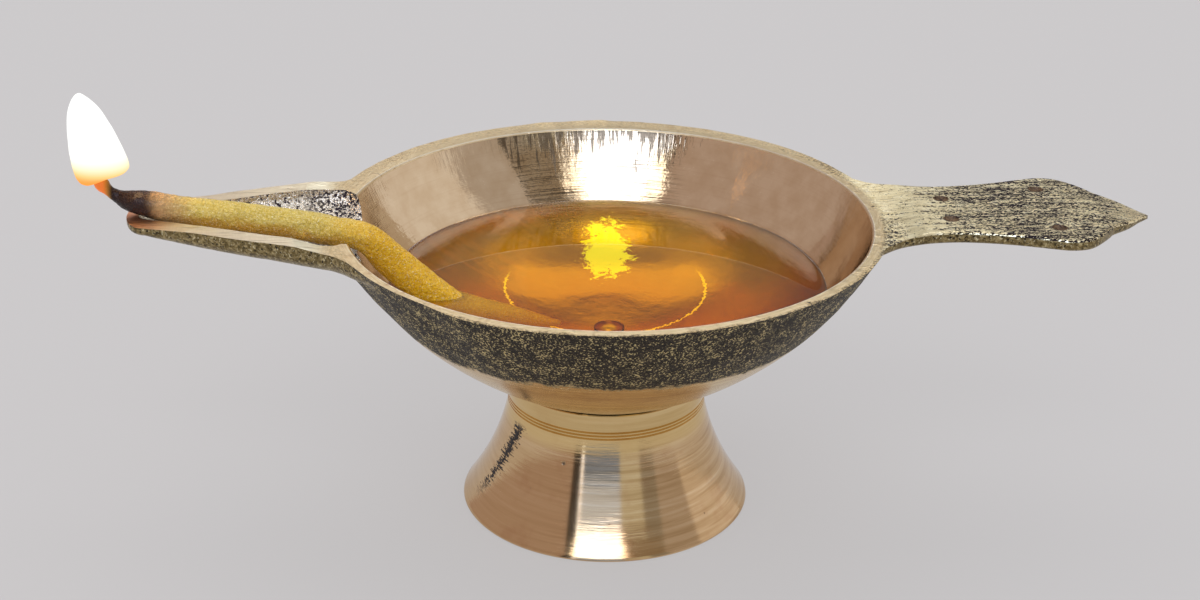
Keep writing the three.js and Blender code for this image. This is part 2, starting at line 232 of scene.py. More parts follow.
class Tree:
    """Short calls for making the nodes of one material."""

    def __init__(self, tree):
        self.tree = tree

    def add(self, kind, inputs=(), **props):
        node = self.tree.nodes.new("ShaderNode" + kind)
        for key, value in props.items():
            setattr(node, key, value)
        for key, value in dict(inputs).items():
            self.put(node.inputs[key], value)
        return node

    def put(self, socket, value):
        if isinstance(value, bpy.types.NodeSocket):
            self.tree.links.new(value, socket)
        elif value is not None:
            if socket.type == "RGBA" and len(value) == 3:
                value = (*value, 1.0)
            socket.default_value = value

    def math(self, operation, a, b=None):
        return self.add("Math", {0: a, 1: b}, operation=operation).outputs[0]

    def chain(self, operation, first, *others):
        """The operation on the first two values, then on that and the next."""
        for other in others:
            first = self.math(operation, first, other)
        return first

    def plus(self, *values):
        return self.chain("ADD", *values)

    def times(self, *values):
        return self.chain("MULTIPLY", *values)

    def most(self, *values):
        return self.chain("MAXIMUM", *values)

    def minus(self, a, b):
        return self.math("SUBTRACT", a, b)

    def swing(self, noise, size):
        """A noise from 0 to 1 as one about zero, size from end to end."""
        return self.times(self.minus(noise, 0.5), size)

    def length(self, v):
        return self.add("VectorMath", {0: v}, operation="LENGTH").outputs["Value"]

    def scaled(self, v, scale):
        return self.add("VectorMath", {0: v, "Scale": scale}, operation="SCALE").outputs[0]

    def join(self, x, y, z):
        return self.add("CombineXYZ", {"X": x, "Y": y, "Z": z}).outputs[0]

    def split(self, v):
        return self.add("SeparateXYZ", {"Vector": v}).outputs[:]

    def noise(self, v, scale, detail=3.0, rough=0.5, distortion=0.0):
        return self.add("TexNoise", {"Vector": v, "Scale": scale, "Detail": detail,
                                     "Roughness": rough, "Distortion": distortion}).outputs[0]

    def cells(self, v, scale, feature="F1"):
        node = self.add("TexVoronoi", {"Vector": v, "Scale": scale}, feature=feature)
        return node.outputs["Distance"]

    def ramp(self, fac, stops):
        """A colour ramp from (place, linear colour) pairs."""
        node = self.add("ValToRGB", {"Fac": fac})
        elements = node.color_ramp.elements
        while len(elements) < len(stops):
            elements.new(0.5)
        for element, (place, value) in zip(elements, stops):
            element.position = place
            element.color = value
        return node.outputs[0]

    def tones(self, fac, *stops):
        """A ramp from (place, red, green, blue) in display colours."""
        return self.ramp(fac, [(place, colour(*rgb)) for place, *rgb in stops])

    def mix(self, fac, a, b):
        """From colour a to colour b: inputs 6 and 7 are a mix node's colours."""
        return self.add("Mix", {0: fac, 6: a, 7: b}, data_type="RGBA").outputs[2]

    def stain(self, under, share, *rgb):
        """A colour with a share of a display colour over it."""
        return self.mix(share, under, colour(*rgb))

    def fade(self, x, low, high, a=0.0, b=1.0):
        """Smoothly from a at low to b at high."""
        return self.add("MapRange", {"Value": x, "From Min": low, "From Max": high, "To Min": a, "To Max": b},
                        interpolation_type="SMOOTHSTEP").outputs[0]

    def bump(self, height, distance, strength=1.0, normal=None):
        return self.add("Bump", {"Height": height, "Distance": distance, "Strength": strength,
                                 "Normal": normal}).outputs[0]


def blank(name):
    """A material with nodes, a Tree for them and its output node."""
    made = bpy.data.materials.new(name)
    made.use_nodes = True
    return made, Tree(made.node_tree), made.node_tree.nodes["Material Output"]


def glowing(name, radiance):
    """A material that only shines and is not sampled as a lamp."""
    made, t, out = blank(name)
    made.node_tree.nodes.remove(made.node_tree.nodes["Principled BSDF"])
    t.put(out.inputs["Surface"], t.add("Emission", {"Color": radiance}).outputs[0])
    made.cycles.emission_sampling = "NONE"
    return made


def material(name, build):
    """A material whose build function gets its nodes and the object's own
    coordinates in millimetres, and returns the shader's inputs."""
    made, t, _ = blank(name)
    mm = t.scaled(t.add("TexCoord").outputs["Object"], 1000.0)
    shader = made.node_tree.nodes["Principled BSDF"]
    for key, value in build(t, mm).items():
        t.put(shader.inputs[key], value)
    return made


def lathe_marks(t, mm, across, detail, rough, around=1.5, slope=0.7):
    """Noise in coordinates that run round the axis."""
    x, y, z = t.split(mm)
    r = t.most(t.length(t.join(x, y, 0.0)), 0.01)
    return t.noise(t.join(
        t.times(t.math("DIVIDE", x, r), around),
        t.times(t.math("DIVIDE", y, r), around),
        t.times(t.plus(t.times(r, slope), z), across),
    ), 1.0, detail, rough)


def brass(tint, metallic, rough, normal, specular=0.5):
    return {"Base Color": tint, "Metallic": metallic, "Roughness": rough, "Normal": normal,
            "Specular IOR Level": specular}


def inner_brass(t, mm):
    x, y, z = t.split(mm)
    r = t.length(t.join(x, y, 0))
    lines = lathe_marks(t, mm, 2, 3, 0.6)
    fine = lathe_marks(t, mm, 6, 2, 0.6, around=3)
    chatter = lathe_marks(t, mm, 0.12, 3, 0.65, around=64)
    cloud = t.noise(mm, 0.28, 3, 0.55)
    mottle = t.noise(t.join(x, y, t.times(z, 1.8)), 1.9, 4, 0.65)
    under_oil = t.fade(z, OIL_LEVEL + 0.7, OIL_LEVEL - 0.7)
    tint = t.tones(cloud, (0.35, 222, 197, 162), (0.65, 233, 211, 178))
    tint = t.stain(tint, t.times(t.fade(lines, 0.5, 0.75), 0.12), 188, 152, 114)
    # chatter marks of the tool under the lip of the far side, darkened in colour partly as painted shade;
    # shade and the lines over the same part are a painted dark reflection
    leaning = t.plus(x, t.times(z, 0.55), t.swing(mottle, 2.5))
    part = t.times(t.fade(y, 22, 30), t.fade(leaning, 9, 9.7), t.fade(x, 16, 10))
    low = t.times(t.minus(RIM, z), 0.027)
    marks = t.times(t.fade(t.minus(chatter, low), 0.42, 0.5), part)
    combed = t.plus(mottle, t.swing(fine, 0.5))
    shade = t.times(t.fade(combed, 0.46, 0.62, 0.25, 1), part, t.fade(x, -1, -5))
    painted_reflection_lines = t.times(t.fade(fine, 0.53, 0.58), part, t.fade(z, 47, 44))
    # painted dark reflection and painted shade: the marks, shade and lines are darkened in colour
    tint = t.stain(tint, t.times(marks, 0.85), 92, 78, 62)
    tint = t.stain(tint, t.times(shade, 0.58), 112, 94, 72)
    tint = t.stain(tint, t.times(painted_reflection_lines, 0.82), 84, 70, 54)
    # painted caustic: a glowing curved line under the oil, open at the back
    aside = t.join(x, t.minus(y, 7.5), 0)
    ring = t.plus(t.length(aside), t.swing(t.noise(mm, 1.7, 2, 0.6), 1.5))
    painted_caustic_line = t.times(t.fade(ring, 16.35, 16.55), t.fade(ring, 16.85, 16.65))
    painted_caustic_line = t.times(painted_caustic_line, under_oil, t.fade(y, 14, 9))
    tint = t.stain(tint, t.times(under_oil, 0.75), 178, 132, 80)
    # painted light: the light that the oil gathers at the back, and the amber glow to its left, are painted
    # as glow
    ragged = t.swing(t.noise(mm, 0.42, 5, 0.7, 0.8), 11)
    from_spot = t.length(t.join(t.minus(x, 0.8), t.times(t.minus(y, 21), 0.46), 0))
    painted_light_spot = t.fade(t.plus(from_spot, ragged), 4.3, 3.3)
    slanted = t.join(t.times(x, 0.3), t.plus(y, t.times(x, 0.8)), 0)
    streaks = t.fade(t.noise(slanted, 0.5, 3, 0.6), 0.4, 0.66, 0.3, 1)
    amber = t.times(streaks, t.fade(x, -5, -15), t.fade(y, 4, 14))
    bright = t.most(t.times(painted_caustic_line, 0.9), t.times(painted_light_spot, under_oil, 0.68))
    yellow = t.mix(painted_light_spot, (1, 0.8, 0.3, 1), (1, 1.25, 0.1, 1))
    glow = t.mix(t.math("GREATER_THAN", bright, 0.02), (1, 0.26, 0.02, 1), yellow)
    bright = t.most(bright, t.times(amber, under_oil, 0.07))
    wave = t.bump(cloud, 0.00007)
    teeth = t.bump(t.times(chatter, t.fade(z, 43.5, 48.5)), 0.00006, 1, wave)
    cut = t.bump(fine, 0.000009, 1, teeth)
    rough = t.plus(0.05, t.times(t.fade(cloud, 0.4, 0.7), 0.04))
    rough = t.plus(rough, t.times(t.most(marks, t.times(shade, 0.5)), 0.2))
    rough = t.plus(rough, t.times(under_oil, t.fade(r, 12, 30, 0.1, 0.17)))
    return {**brass(tint, 1, rough, t.bump(lines, 0.000016, 1, cut)),
            "Emission Color": glow, "Emission Strength": bright}


def handle_skin(t, mm):
    """Filed top of the handle: colour, share of pits and grain."""
    x, y, z = t.split(mm)
    run = t.join(t.times(x, 0.6), t.times(y, 1.1), z)
    grain = t.noise(run, 3.6, 2, 0.6, 0.4)
    streak = t.noise(t.join(t.times(x, 0.12), t.times(y, 1.2), z), 0.8, 3, 0.6)
    patch = t.noise(mm, 0.2, 2, 0.5)
    root = t.times(t.fade(x, 48.5, 44.5), t.fade(y, 3, -3, 0.02, 0.17))
    more = t.plus(t.fade(x, 45, 59, -0.17, 0.03), t.fade(x, 80, 84, 0, -0.12), root)
    more = t.plus(more, t.swing(streak, 0.5))
    more = t.plus(more, t.swing(patch, 0.18))
    pits = t.fade(t.plus(grain, more), 0.495, 0.525)
    gold = t.tones(t.noise(run, 0.8, 4, 0.6),
                   (0.3, 220, 205, 160), (0.55, 242, 230, 190), (0.8, 255, 249, 222))
    lines = t.noise(t.join(t.times(x, 0.1), t.times(y, 2.5), z), 1, 3, 0.6)
    gold = t.stain(gold, t.times(t.fade(lines, 0.5, 0.62), 0.45), 140, 120, 84)
    return t.mix(pits, gold, colour(24, 13, 21)), pits, grain


def land_brass(t, mm):
    x, y, z = t.split(mm)
    r = t.length(t.join(x, y, 0))
    patch = t.noise(mm, 0.3, 3, 0.6)
    lines = lathe_marks(t, mm, 4, 4, 0.65, around=22, slope=1)
    radial = lathe_marks(t, mm, 0.35, 3, 0.6, around=36, slope=1)
    grain = t.noise(mm, 1.9, 4, 0.65)
    near = t.fade(t.plus(y, t.times(x, -0.7)), 22, -12)
    outer = t.fade(t.plus(r, t.swing(patch, 2.5)), 43.2, 44.1)
    beyond = t.fade(t.math("ABSOLUTE", x), 47.5, 44)
    coarse = t.times(outer, beyond, t.most(near, 0.25))
    specks = t.times(t.fade(grain, 0.54, 0.45), coarse)
    tint = t.tones(lines, (0.3, 204, 180, 136), (0.5, 226, 204, 162), (0.72, 240, 224, 190))
    scored = t.times(t.fade(radial, 0.52, 0.7), t.fade(x, 45, 41, 0, 0.4))
    tint = t.stain(tint, scored, 182, 152, 108)
    tint = t.stain(tint, t.times(coarse, 0.4), 190, 170, 122)
    tint = t.stain(tint, t.times(specks, 0.9), 78, 68, 54)
    # painted reflection: the land on the spout is lightened towards cream
    tint = t.stain(tint, t.times(t.fade(x, -43, -47), 0.75), 255, 250, 226)
    strokes = t.noise(t.join(t.times(x, 0.15), t.times(y, 2.2), z), 1, 4, 0.65)
    strokes = t.times(t.fade(strokes, 0.5, 0.62), t.fade(x, -42, -45))
    tint = t.stain(tint, t.times(strokes, 0.4), 150, 132, 92)
    tint = t.stain(tint, t.times(t.fade(x, -68, -75), 0.6), 250, 150, 92)
    filed, pits, _ = handle_skin(t, mm)
    root = t.times(t.fade(r, 43.2, 44.6), t.fade(x, 39, 42))
    tint = t.mix(root, tint, filed)
    pits = t.times(pits, root)
    # painted highlight: a pale line along the bore's edge
    lip = t.times(t.fade(r, BORE, BORE + 0.15), t.fade(r, BORE + 0.45, BORE + 0.25))
    tint = t.stain(tint, t.times(lip, 0.7), 244, 238, 222)
    flaws = t.times(t.fade(t.cells(mm, 0.5), 0.2, 0.12), t.fade(patch, 0.57, 0.64))
    tint = t.stain(tint, flaws, 44, 34, 34)
    dents = t.most(pits, t.plus(specks, flaws))
    metallic = t.minus(1, t.most(pits, t.times(t.most(flaws, specks), 0.7)))
    rough = t.plus(0.28, t.times(t.most(coarse, pits), 0.2))
    height = t.minus(t.plus(t.times(lines, 0.3), scored), dents)
    return brass(tint, metallic, rough, t.bump(height, 0.00009, 0.9), RAW_SPECULAR)


def raw_parts(t, mm, dark, light, amount, scale=1):
    """Skin of the raw casting: colour, metal share and height."""
    grain = t.noise(mm, 3.1 * scale, 4, 0.6)
    coarse = t.noise(mm, 0.5, 3, 0.5)
    bright = t.fade(t.plus(grain, t.swing(coarse, 0.32)), amount, amount + 0.1)
    lighter = (*(3 * c for c in dark[:3]), 1)
    tone = t.ramp(t.noise(mm, 1.2, 4, 0.6), [(0.36, dark), (0.66, lighter)])
    tint = t.mix(bright, tone, light)
    return tint, bright, t.plus(grain, t.times(coarse, 0.6))


def outside_brass(t, mm):
    z = t.split(mm)[2]
    tint, bright, height = raw_parts(t, mm, colour(28, 23, 18), colour(216, 196, 142), 0.54)
    edge = t.plus(t.swing(t.noise(mm, 0.22, 4, 0.6), 4.2), t.swing(t.noise(mm, 1.7, 2, 0.5), 1.6))
    raw = t.fade(t.plus(z, edge), 35.9, 36.9)
    lines = lathe_marks(t, mm, 2.4, 4, 0.62)
    worn = t.noise(mm, 0.2, 3, 0.6)
    turned = t.tones(lines, (0.3, 196, 162, 108), (0.5, 224, 192, 134), (0.7, 238, 212, 158))
    turned = t.stain(turned, t.times(t.fade(worn, 0.5, 0.7), 0.35), 164, 118, 74)
    metallic = t.most(t.minus(1, raw), t.times(bright, 0.9))
    rough = t.plus(t.times(raw, 0.3), 0.14, t.times(lines, 0.08))
    normal = t.bump(t.times(height, raw), 0.00024, 0.9, t.bump(lines, 0.00003))
    return brass(t.mix(raw, turned, tint), metallic, rough, normal, RAW_SPECULAR)


def channel_brass(t, mm):
    tint, bright, height = raw_parts(t, mm, colour(26, 20, 30), colour(250, 240, 222), 0.465, 0.72)
    worn = t.times(t.fade(t.split(mm)[0], -45, -53), t.fade(t.noise(mm, 1.7, 3, 0.6), 0.42, 0.47))
    tint = t.stain(tint, t.times(worn, 0.8), 246, 236, 214)
    bright = t.most(bright, worn)
    return brass(tint, t.times(bright, 0.95), t.minus(0.5, t.times(bright, 0.3)), t.bump(height, 0.0003),
                 RAW_SPECULAR)


def side_brass(t, mm):
    grain = t.noise(mm, 1.6, 5, 0.6)
    specks = t.fade(t.noise(mm, 2.2, 3, 0.6), 0.42, 0.35)
    glints = t.fade(t.noise(mm, 2.6, 3, 0.6), 0.58, 0.66)
    tint = t.tones(grain, (0.32, 84, 70, 44), (0.5, 134, 117, 78), (0.7, 190, 171, 124))
    tint = t.stain(tint, t.times(glints, 0.7), 232, 220, 180)
    tint = t.stain(tint, specks, 28, 25, 24)
    normal = t.bump(t.minus(grain, specks), 0.00014, 0.9)
    return brass(tint, t.minus(0.9, t.times(specks, 0.6)), 0.36, normal, RAW_SPECULAR)


def handle_brass(t, mm):
    tint, pits, grain = handle_skin(t, mm)
    normal = t.bump(t.minus(t.times(grain, 0.5), pits), 0.00013, 0.9)
    return brass(tint, t.minus(1, pits), t.plus(0.3, t.times(pits, 0.3)), normal, RAW_SPECULAR)


def dimple_brass(t, mm):
    # painted shade: dark tones stand in for the shade in the hollows of the dimples and the rivet hole
    tone = t.tones(t.noise(mm, 2.2, 3), (0.35, 52, 38, 30), (0.7, 128, 104, 78))
    return brass(tone, 0.6, 0.5, t.bump(t.noise(mm, 3, 3), 0.0001, 0.6))


def foot_brass(t, mm):
    x, y, z = t.split(mm)
    lines = lathe_marks(t, mm, 1.3, 4, 0.62, around=0.9, slope=-0.15)
    fine = lathe_marks(t, mm, 5, 2, 0.6, around=3, slope=-0.15)
    lines = t.plus(0.5, t.swing(lines, t.fade(x, -12, 4, 0.4, 1)))
    worn = t.noise(mm, 0.16, 3, 0.6)
    tint = t.tones(lines, (0.3, 190, 155, 110), (0.5, 214, 181, 137), (0.7, 230, 201, 161))
    tint = t.stain(tint, t.times(t.fade(worn, 0.5, 0.7), 0.3), 186, 136, 96)
    tint = t.stain(tint, t.fade(z, 14.5, 17, 0, 0.55), 232, 202, 136)
    around = t.math("ARCTAN2", y, x)
    # a ragged dark seam down the near left, and a few dark flaws
    jag = t.swing(t.noise(t.join(t.times(x, 0.3), 0, z), 3.2, 3, 0.75), 0.46)
    seam = t.plus(around, t.times(z, -0.0189), jag)
    width = t.times(t.noise(mm, 1.4, 2, 0.6), t.fade(z, 4, 16, 0.12, 0.18))
    seam = t.math("LESS_THAN", t.math("ABSOLUTE", t.plus(seam, 2.935)), t.minus(width, 0.03))
    seam = t.times(seam, t.fade(z, 2, 6), t.fade(z, 17.2, 16))
    flaws = t.times(t.fade(t.cells(mm, 0.4), 0.16, 0.1), t.fade(worn, 0.6, 0.64))
    dark = t.most(seam, flaws)
    tint = t.stain(tint, dark, 34, 26, 24)
    wear = t.minus(t.plus(t.times(lines, 0.8), t.times(fine, 0.2)), dark)
    rough = t.plus(0.07, t.times(worn, 0.08), t.times(dark, 0.4))
    return brass(tint, t.minus(1, t.times(dark, 0.8)), rough, t.bump(wear, 0.00004))


def rivet_brass(t, mm):
    tone = t.tones(t.noise(mm, 0.9, 3), (0.3, 176, 140, 84), (0.7, 206, 170, 110))
    return brass(tone, 1, 0.28, t.bump(t.noise(mm, 2, 3), 0.00008, 0.5))


def oil_amber(t, mm):
    return {"Base Color": (1, 0.96, 0.86, 1), "Roughness": 0, "IOR": 1.47, "Transmission Weight": 1,
            "Specular IOR Level": 0.3}


def wick_cotton(t, mm):
    x, y, z = t.split(mm)
    fibre = t.noise(t.join(t.times(x, 0.6), y, z), 3.6, 5, 0.7, 0.9)
    drops = t.noise(mm, 1.7, 3, 0.6, 0.6)
    grains = t.cells(mm, 1.9, "SMOOTH_F1")
    patch = t.noise(mm, 0.35, 3, 0.6)
    top = t.tones(fibre, (0.28, 180, 146, 46), (0.48, 217, 190, 82), (0.7, 238, 222, 150))
    sunk = t.tones(fibre, (0.3, 216, 154, 14), (0.55, 244, 192, 30), (0.75, 254, 226, 90))
    under = t.tones(fibre, (0.3, 172, 118, 28), (0.55, 212, 156, 46), (0.75, 240, 202, 94))
    facing_up = t.split(t.add("NewGeometry").outputs["Normal"])[2]
    low = t.fade(t.plus(facing_up, t.swing(patch, 0.8)), 0.45, -0.35)
    tone = t.mix(t.times(low, 0.85), top, under)
    along = t.plus(x, t.swing(patch, 8))
    tone = t.mix(t.fade(along, -47, -35), tone, sunk)
    where = t.plus(x, t.swing(patch, 3))
    tone = t.stain(tone, t.times(t.fade(where, -64, -71), 0.9), 178, 140, 98)
    tone = t.stain(tone, t.fade(where, -70.4, -73.4), 36, 13, 7)
    glints = t.times(t.fade(t.noise(mm, 4.5, 2, 0.5), 0.6, 0.66), t.fade(x, -72, -66))
    tone = t.stain(tone, t.times(glints, 0.55), 255, 252, 214)
    ember = t.fade(x, -78.2, -79.8)
    # cotton under the oil lets light through; this is painted as a glow
    painted_glow_under_oil = t.fade(z, 38.6, 36.8)
    painted_glow_tone = t.mix(t.fade(z, 36, 29.5), colour(236, 170, 50), colour(226, 140, 30))
    glow = t.mix(ember, painted_glow_tone, (1, 0.22, 0.03, 1))
    bright = t.fade(drops, 0.5, 0.62)
    return {"Base Color": tone, "Roughness": t.minus(0.45, t.times(bright, 0.33)),
            "Emission Color": glow,
            "Emission Strength": t.plus(t.times(ember, 0.8), t.times(painted_glow_under_oil, 0.22)),
            "Coat Weight": 0.12, "Coat Roughness": 0.1, "Specular IOR Level": 0.3,
            "Normal": t.bump(drops, 0.00045, 1, t.bump(t.minus(fibre, grains), 0.00028, 0.9))}


def flame_glow(t, mm):
    z = t.split(mm)[2]
    high = t.fade(z, 60.2, 66)
    low = t.ramp(t.fade(z, 55.6, 60.6), [(0, (1, 0.36, 0.07, 1)), (0.35, (1, 0.66, 0.26, 1)),
                                         (0.7, (1, 0.9, 0.62, 1)), (1, (1, 0.99, 0.95, 1))])
    tone = t.mix(high, low, (1, 1, 0.98, 1))
    return {"Base Color": (0, 0, 0, 1), "Roughness": 1, "Specular IOR Level": 0,
            "Emission Color": tone, "Emission Strength": 1.15}


MAT = {name: material(name, build) for name, build in (
    ("brass_bowl_inside", inner_brass), ("brass_faced_land", land_brass),
    ("brass_bowl_outside", outside_brass), ("brass_spout_channel", channel_brass),
    ("brass_cast_side", side_brass), ("brass_handle_top", handle_brass), ("brass_dimple", dimple_brass),
    ("brass_foot", foot_brass), ("brass_rivet", rivet_brass),
    ("oil_amber", oil_amber), ("wick_cotton", wick_cotton), ("flame_glow", flame_glow),
)}
oil_tree = Tree(MAT["oil_amber"].node_tree)
absorb = oil_tree.add("VolumeAbsorption", {"Color": (0.993, 0.928, 0.0, 1.0), "Density": 260.0})
oil_tree.put(MAT["oil_amber"].node_tree.nodes["Material Output"].inputs["Volume"], absorb.outputs[0])

CASTING = list(MAT.values())[:7]  # numbered below
INNER, LAND, OUTSIDE, CHANNEL, SIDE, HANDLE, DIMPLE = range(7)


# ---- the casting
GATE_ANGLE = 92  # degrees from +X
SLUMP_ANGLE = -142
SLUMP = 1.2  # how far the skin falls in
ROOT = 36  # where spout, channel and handle start, inside the wall
CUT_TOP = 52.0  # cuts end here, above all brass


def raw_bumps(points, seed):
    """How far the raw skin of the casting stands out or in."""
    return (
        0.10 * value_noise(points, 7.0, seed)
        + 0.07 * value_noise(points, 2.6, seed + 1)
        + 0.045 * value_noise(points, 1.1, seed + 2)
    )


def outside_body():
    profile = [(r, SEAT) for r in (0, 5, 10, 14)]
    profile += arc((15.75, SEAT), (RIM_OUTER, RIM), 69, 84)
    profile += [(RIM_OUTER, CAST_TOP), (30, CAST_TOP), (0, CAST_TOP)]
    verts, faces = revolve(profile, TURNED)
    r = np.hypot(verts[:, 0], verts[:, 1])
    raw = smoothstep(verts[:, 2], 35.5, 38.5) * (r > 30)
    out = raw * raw_bumps(verts, 11)
    # a low remnant of the gate on the far side of the rim
    angle = np.degrees(np.arctan2(verts[:, 1], verts[:, 0]))
    gate = smoothstep(np.abs(angle - GATE_ANGLE), 16, 11) * smoothstep(verts[:, 2], 44.5, 48.5) * (r > 30)
    out += gate * (0.25 + 0.35 * value_noise(verts, 2.2, 31))
    scale = 1 + out / np.maximum(r, 1e-6)
    verts[:, 0] *= scale
    verts[:, 1] *= scale
    # the skin falls away under the near left of the rim
    slump = smoothstep(np.abs(angle - SLUMP_ANGLE), 24, 10) * smoothstep(verts[:, 2], 34, 46) * (r > 30)
    verts[:, 0] += SLUMP * slump * 0.79
    verts[:, 1] += SLUMP * slump * 0.61
    share = smoothstep(verts[:, 2], RIM - 14, RIM)
    verts[:, 0] -= BACK * share
    verts[:, 1] += SHIFT * share
    return make("lamp_casting", verts, faces, CASTING, OUTSIDE)


# Splines give half widths and depths by the distance from the axis
SPOUT_TIP = 76.3
SPOUT_ROUND = 3.4  # length of the rounded end
SPOUT_ASIDE = 1.2
CHANNEL_END = 74.6
CHANNEL_ROUND = 2
spout_width = spline([
    (36, 24), (38, 21), (40, 18.8), (41.6, 17.1), (43.3, 15.7), (44.8, 15), (47.9, 14), (51, 12.9),
    (54.5, 11.7), (57.3, 10.7), (60.4, 9.6), (63.7, 8.3), (66.9, 7.3), (70.1, 6.6), (73.3, 5.8),
])
spout_depth = spline([
    (36, 6.9), (42, 6.6), (45, 6.4), (51, 5.7), (57, 5.15), (64, 4.3), (70, 3.1), (73.5, 2.2), (76.3, 1.3),
])
channel_width = spline([
    (36, 7.5), (39, 8.6), (40.5, 9.4), (41.5, 10.6), (42.5, 11.6), (44, 11.8), (45.1, 11.6),
    (46.8, 11.1), (48.4, 10.5), (50.7, 9.7), (54, 8.7), (59.8, 6.5), (66.2, 4.3), (70, 3), (74.6, 1.9),
])


def trough(at, half_width, side, depth, top):
    """A round-bottomed ring across the spout, with upright sides."""
    half = [(half_width, z) for z in steps(top - CAST_TOP, -side, 6)[:-1]]
    half += [(half_width * cos(a), -side - (depth - side) * sin(a)) for a in steps(0, pi / 2, 16)]
    return ([(-at, SPOUT_ASIDE - y, CAST_TOP + z) for y, z in half]
            + [(-at, SPOUT_ASIDE + y, CAST_TOP + z) for y, z in reversed(half[:-1])])


def spout_body():
    last = SPOUT_TIP - SPOUT_ROUND
    def ring(at, ending):
        start = min(at, last)
        depth = spout_depth(start) * (0.45 + 0.55 * ending)
        return trough(at, spout_width(start) * ending, depth * 0.25, depth, CAST_TOP)
    rings = [ring(at, 1) for at in steps(ROOT, last, 90)]
    rings += [ring(last + SPOUT_ROUND * t, sqrt(1 - t**2))
              for t in (0.1, 0.2, 0.3, 0.4, 0.5, 0.6, 0.7, 0.79, 0.86, 0.91, 0.95, 0.98, 0.995)]
    verts, faces = skin(rings)
    away = verts - (0, SPOUT_ASIDE, RIM - 1.5)
    away[:, 0] = 0
    away /= np.maximum(np.linalg.norm(away, axis=1), 0.5)[:, None]
    away[:, 2] = np.minimum(away[:, 2], 0)
    tip = smoothstep(-verts[:, 0], SPOUT_TIP + 0.2, SPOUT_TIP - 3)
    verts = verts + away * (raw_bumps(verts, 41) * tip)[:, None]
    return make("spout", verts, faces, CASTING, SIDE)


def spout_channel():
    last = CHANNEL_END - CHANNEL_ROUND
    def ring(at, ending):
        depth = spout_depth(at) - 1.4
        return trough(at, channel_width(at) * ending, min(0.95, depth / 2), depth, CAST_TOP + 1)
    rings = [ring(at, 1) for at in steps(ROOT, last, 80)]
    rings += [ring(last + CHANNEL_ROUND * t, sqrt(1 - t**2))
              for t in (0.15, 0.3, 0.45, 0.6, 0.72, 0.82, 0.9, 0.95)]
    verts, faces = skin(rings)
    bumps = raw_bumps(verts, 51)
    side = np.sign(verts[:, 1] - SPOUT_ASIDE) * smoothstep(np.abs(verts[:, 1] - SPOUT_ASIDE), 0.5, 2)
    verts[:, 1] += side * bumps * 0.8
    verts[:, 2] += np.where(verts[:, 2] < RIM - 0.5, bumps * 0.5, 0)
    return make("channel", verts, faces, CASTING, CHANNEL)


HANDLE_TIP = 87.7
HANDLE_ASIDE = 1.6
HANDLE_THICK = 2
HANDLE_FALL = 9.8  # length of the end that falls towards the point, by HANDLE_DROP
HANDLE_DROP = 1.4
handle_width = spline([
    (36, 21.5), (41.5, 15.6), (45.5, 12.3), (50, 10.6), (55, 10.1), (60, 10.6), (65, 11.7), (69, 12.9),
    (72, 13.7), (75, 13.2), (77.4, 11.1), (79.4, 8.6), (80.4, 7.2), (83.8, 4.4), (87.7, 0.15),
])


def handle_fall(at):
    """From 0 where the handle starts to fall to 1 at its point."""
    return max(0, (at - HANDLE_TIP + HANDLE_FALL) / HANDLE_FALL)


def handle_top(at):
    return CAST_TOP - HANDLE_DROP * handle_fall(at) ** 1.5


def handle_body():
    droop = HANDLE_TIP - HANDLE_FALL
    rings = []
    for at in steps(ROOT, droop, 110) + steps(droop, HANDLE_TIP, 50)[1:]:
        w = handle_width(at)
        thick = HANDLE_THICK - 1.45 * handle_fall(at) ** 2
        edge = min(0.5, w * 0.4)
        bevel = min(0.9, w * 0.4)
        half = [(y, 0) for y in steps(0, w - edge, 22)]
        half += [(w - edge + edge * sin(a), -edge + edge * cos(a))
                 for a in steps(0, pi / 2, 5)[1:]]
        half += [(w, z) for z in steps(-edge, bevel - thick, 3)[1:]]
        half += [(w - bevel + bevel * cos(a), bevel - thick - bevel * sin(a))
                 for a in steps(0, pi / 2, 4)[1:]]
        half += [(y, -thick) for y in steps(w - bevel, 0, 10)[1:]]
        ring = half[:-1] + [(-y, z) for y, z in reversed(half[1:])]
        rings.append([(at, HANDLE_ASIDE + y, handle_top(at) + z) for y, z in ring])
    verts, faces = skin(rings)
    bumps = raw_bumps(verts, 61)
    w = np.array([handle_width(x) for x in verts[:, 0]])
    outer = smoothstep(np.abs(verts[:, 1] - HANDLE_ASIDE) / np.maximum(w, 0.1), 0.9, 1)
    quiet = smoothstep(verts[:, 0], HANDLE_TIP, HANDLE_TIP - 2.5)
    verts[:, 1] += np.sign(verts[:, 1] - HANDLE_ASIDE) * outer * bumps * quiet
    verts[:, 2] += (1 - outer) * np.where(verts[:, 2] > RIM - 1.6, -0.35 * np.abs(bumps), bumps) * quiet
    zones = []
    for f in faces:
        c = verts[list(f)].mean(0)
        zones.append(HANDLE if c[2] > handle_top(c[0]) - 0.28 else SIDE)
    return make("handle", verts, faces, CASTING, zones)


def inside_body():
    wall = []
    for a in steps(-pi / 2, asin((RIM - 0.25 - INSIDE_CENTRE) / INSIDE_ARC), 90):
        wall.append((BOTTOM_FLAT + INSIDE_ARC * cos(a), INSIDE_CENTRE + INSIDE_ARC * sin(a)))
    profile = [(0, INSIDE_BOTTOM), (2.5, INSIDE_BOTTOM)] + wall
    profile += [(BORE + 0.22, RIM), (BORE + 0.22, CUT_TOP), (0, CUT_TOP)]
    verts, faces = revolve(profile, TURNED)
    zones = [LAND if min(verts[list(f)][:, 2]) > RIM - 0.26 and len(f) == 4 else INNER for f in faces]
    return make("inside", verts, faces, CASTING, zones)


